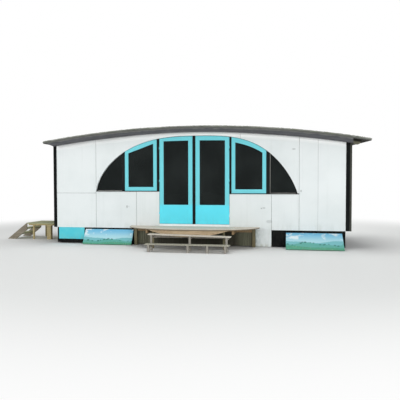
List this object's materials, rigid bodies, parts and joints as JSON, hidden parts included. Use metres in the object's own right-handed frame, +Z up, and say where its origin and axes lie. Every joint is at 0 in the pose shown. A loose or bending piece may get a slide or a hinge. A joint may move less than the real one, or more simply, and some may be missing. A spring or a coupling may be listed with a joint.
{
  "type": "shepherds hut",
  "caption": "Low timber hut with a bowed roof, an arched glazed front with paired outward doors, bow-fronted deck, steps, skirt panels and an end landing.",
  "frame": {"origin": "centre of the hut's plan on the ground, at the underside of the middle pier", "axes": "+X along the hut to the right as seen from the front, front faces -Y, +Z up"},
  "size_m": [9.2832, 3.9872, 2.839],
  "materials": {
    "wall_panel": "satin off-white sheet, lightly stained",
    "black_board": "black stained boards",
    "black_frame": "black frame paint, satin",
    "turquoise_paint": "turquoise gloss paint on timber",
    "window_glass": "clear glass",
    "fascia_paint": "dark grey paint, weathered",
    "roof_felt": "mineral roofing with grey moss",
    "deck_wood": "silvered weathered boards",
    "grey_board": "dark grey weathered boards",
    "brown_wood": "brown weathered timber",
    "sawn_timber": "sawn softwood",
    "plain_skirt_paint": "turquoise paint",
    "painted_scene": "sky and meadow painting",
    "hinge_steel": "dull zinc",
    "chassis_steel": "black painted steel",
    "pier_block": "concrete block"
  },
  "bodies": {
    "hut": {"front_wall_left": "wall_panel", "front_wall_right": "wall_panel", "front_spandrel_left": "wall_panel", "front_spandrel_right": "wall_panel", "front_apron_left": "wall_panel", "front_apron_right": "wall_panel", "front_threshold": "wall_panel", "back_wall": "wall_panel", "left_end_wall": "black_board", "right_end_wall": "black_board", "corner_posts": "black_board", "end_battens": "grey_board", "end_door": "black_board", "floor": "sawn_timber", "floor_joists": "sawn_timber", "bearers": "chassis_steel", "piers": "pier_block", "roof_boards": "sawn_timber", "roof_covering": "roof_felt", "roof_beam_ends": "brown_wood", "front_fascia": "fascia_paint", "back_fascia": "fascia_paint", "arch_lining": "black_frame", "window_sills": "black_frame", "frame_posts": "black_frame", "centre_post": "black_frame", "door_stops": "black_frame", "fixed_pane_left": "window_glass", "fixed_pane_right": "window_glass", "sash_left": "turquoise_paint", "sash_right": "turquoise_paint", "sash_glass_left": "window_glass", "sash_glass_right": "window_glass", "wall_hinges": "hinge_steel", "front_skirt_board": "black_board", "rear_skirt_boards": "black_board", "deck_back_boards": "grey_board", "skirt_panel_plain": "plain_skirt_paint", "painted_panel_left": "painted_scene", "painted_panel_right": "painted_scene", "leg_panel": "wall_panel", "deck_boards": "deck_wood", "deck_frame": "sawn_timber", "deck_posts": "brown_wood", "deck_apron": "brown_wood", "step_tread_upper": "deck_wood", "step_tread_lower": "deck_wood", "step_supports": "deck_wood", "landing_boards": "deck_wood", "landing_frame": "brown_wood", "landing_strings": "deck_wood", "landing_treads": "deck_wood"},
    "left_leaf": {"door_left": "turquoise_paint", "door_glass_left": "window_glass", "door_grip_left": "black_frame"},
    "right_leaf": {"door_right": "turquoise_paint", "door_glass_right": "window_glass", "door_grip_right": "black_frame"}
  },
  "joints": [
    {"name": "left_door_hinge", "type": "hinge", "parent": "hut", "child": "left_leaf", "pos_m": [-0.85, -1.256, 0.52], "axis": [0, 0, -1], "range_deg": [0, 110]},
    {"name": "right_door_hinge", "type": "hinge", "parent": "hut", "child": "right_leaf", "pos_m": [0.85, -1.256, 0.52], "axis": [0, 0, 1], "range_deg": [0, 110]}
  ]
}
